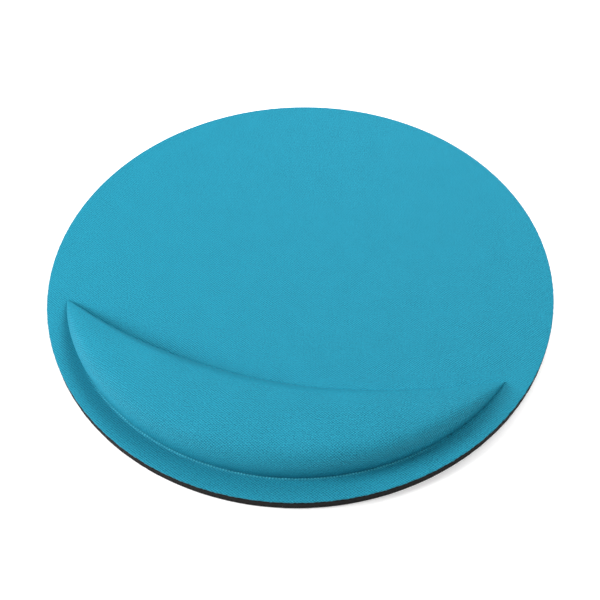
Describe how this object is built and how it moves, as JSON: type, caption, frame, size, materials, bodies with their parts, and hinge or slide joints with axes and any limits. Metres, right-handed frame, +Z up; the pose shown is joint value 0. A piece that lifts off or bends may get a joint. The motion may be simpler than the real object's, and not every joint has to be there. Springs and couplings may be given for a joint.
{
  "type": "mouse mat with wrist rest",
  "caption": "Round cloth-topped foam mouse mat with a crescent wrist rest raised along its front edge.",
  "frame": {"origin": "centre of the underside, on the surface that the mat lies on", "axes": "+Z up through the thickness; -Y towards the user, where the wrist rest is; +X to the user's right"},
  "size_m": [0.23, 0.23, 0.02],
  "materials": {
    "backing": "matt, finely pebbled",
    "foam": "matt, cut closed-cell foam",
    "film": "thin dark satin adhesive film",
    "core": "matt, soft open-cell foam",
    "cloth": "fine teal knit with a slight sheen"
  },
  "bodies": {
    "root": {"nonslip_backing": "backing", "base_foam": "foam", "bond_film": "film", "wrist_rest_core": "core", "fabric_cover": "cloth"}
  },
  "joints": []
}
